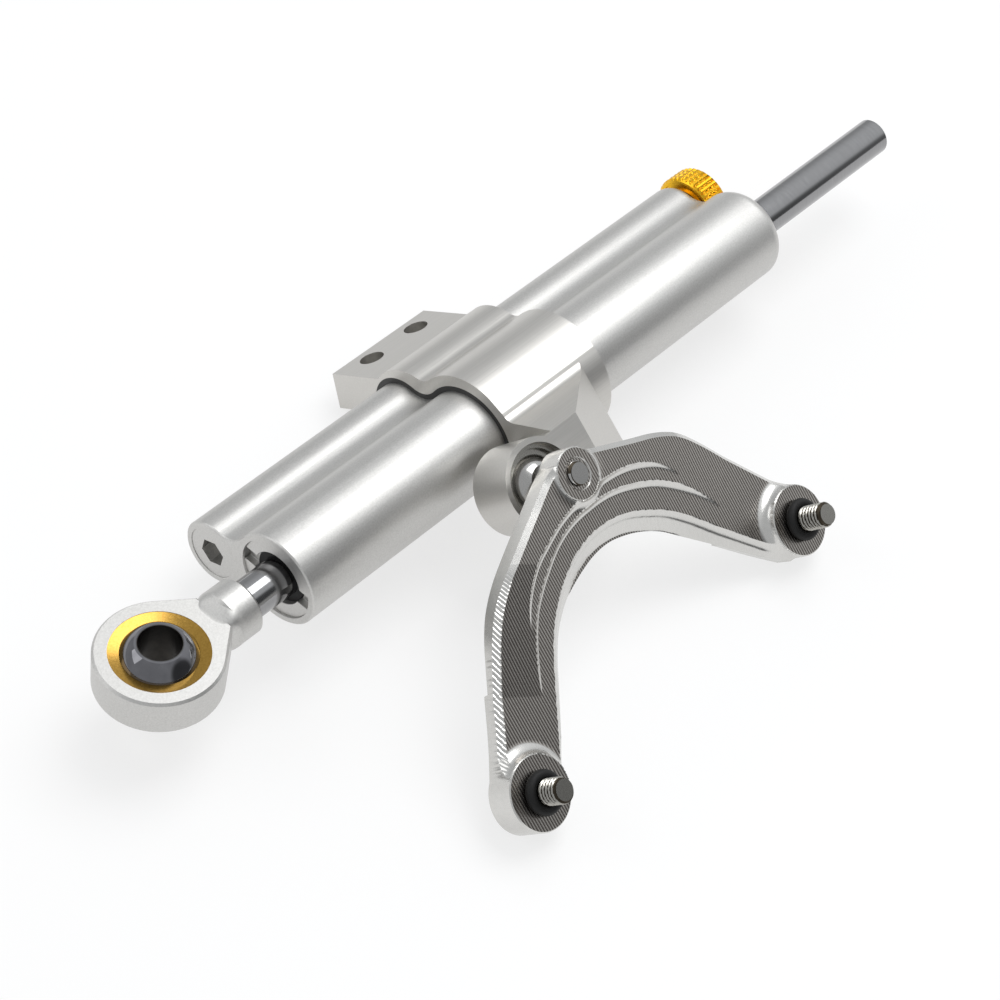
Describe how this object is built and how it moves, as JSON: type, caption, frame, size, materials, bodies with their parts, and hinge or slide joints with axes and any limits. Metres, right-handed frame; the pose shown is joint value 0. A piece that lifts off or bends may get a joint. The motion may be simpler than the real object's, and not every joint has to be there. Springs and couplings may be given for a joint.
{
  "type": "motorcycle steering damper",
  "caption": "Motorcycle steering damper: twin tube with through rod, spherical rod end, clamp bracket with a ball-jointed elbowed mounting fork, and a knurled adjuster knob.",
  "frame": {"origin": "centre of the ball in the rod's eye", "axes": "+X along the rod towards its far tip, +Z along the eye's bore and up as the damper lies, +Y towards the side tube"},
  "size_m": [0.2274, 0.1037, 0.0388],
  "materials": {
    "blasted_aluminium": "bead-blasted and clear anodised, silver-white",
    "clamp_aluminium": "machined, clear anodised, bright edges",
    "fork_aluminium": "milled, fine diagonal tool marks, grey anodised",
    "hard_chrome": "ground and polished hard chrome",
    "bearing_steel": "polished bearing steel",
    "stainless_steel": "turned stainless steel",
    "brass": "turned brass, polished",
    "bronze": "oiled bronze",
    "gold_anodised": "gold anodised, knurled",
    "black_rubber": "nitrile rubber, matt black",
    "black_polymer": "filled polymer, satin black"
  },
  "bodies": {
    "housing": {"twin_tube": "blasted_aluminium", "near_gland": "blasted_aluminium", "near_gland_ring": "black_rubber", "near_rod_bush": "bronze", "near_rod_wiper": "black_rubber", "far_rod_bush": "bronze", "far_rod_wiper": "black_rubber", "side_plug": "blasted_aluminium", "side_plug_ring": "black_rubber", "adjuster_sleeve": "blasted_aluminium", "detent_ball": "bearing_steel", "clamp_bracket": "clamp_aluminium", "clamp_liner": "black_polymer", "bearing_cup": "stainless_steel", "cup_ring": "stainless_steel"},
    "rod": {"piston_rod": "hard_chrome", "piston": "stainless_steel", "piston_band": "black_polymer", "piston_clips": "stainless_steel", "rod_end": "blasted_aluminium", "rod_end_race": "brass"},
    "eye": {"rod_end_ball": "bearing_steel"},
    "knob": {"adjuster_knob": "gold_anodised"},
    "needle": {"metering_needle": "stainless_steel"},
    "reserve": {"reserve_piston": "blasted_aluminium", "reserve_piston_ring": "black_rubber"},
    "stud": {"ball_stud": "bearing_steel"},
    "fork_arms": {"fork": "fork_aluminium", "tip_screws": "stainless_steel", "tip_rings": "black_rubber"}
  },
  "joints": [
    {"name": "rod_slide", "type": "slide", "parent": "housing", "child": "rod", "axis": [1, 0, 0], "range_m": [-0.044, 0.008]},
    {"name": "eye_tilt", "type": "hinge", "parent": "rod", "child": "eye", "pos_m": [0, 0, 0], "axis": [0, 1, 0], "range_deg": [-13, 13]},
    {"name": "knob_turn", "type": "hinge", "parent": "housing", "child": "knob", "pos_m": [0.1735, 0.01597, -0.00603], "axis": [1, 0, 0], "range_deg": [-270, 270]},
    {"name": "needle_slide", "type": "slide", "parent": "housing", "child": "needle", "axis": [1, 0, 0], "range_m": [-0.0007, 0.0007]},
    {"name": "reserve_slide", "type": "slide", "parent": "housing", "child": "reserve", "axis": [1, 0, 0], "range_m": [-0.008, 0.005]},
    {"name": "fork_tilt", "type": "hinge", "parent": "housing", "child": "stud", "pos_m": [0.0754, -0.0202, 0.00715], "axis": [0.9981, 0.0417, -0.0458], "range_deg": [-10, 10]},
    {"name": "fork_swivel", "type": "hinge", "parent": "stud", "child": "fork_arms", "pos_m": [0.0754, -0.0202, 0.00715], "axis": [0.062, -0.672, 0.738], "continuous": true}
  ],
  "couplings": [
    {"joint": "needle_slide", "follows": "knob_turn", "m_per_rad": 0.00011937}
  ]
}
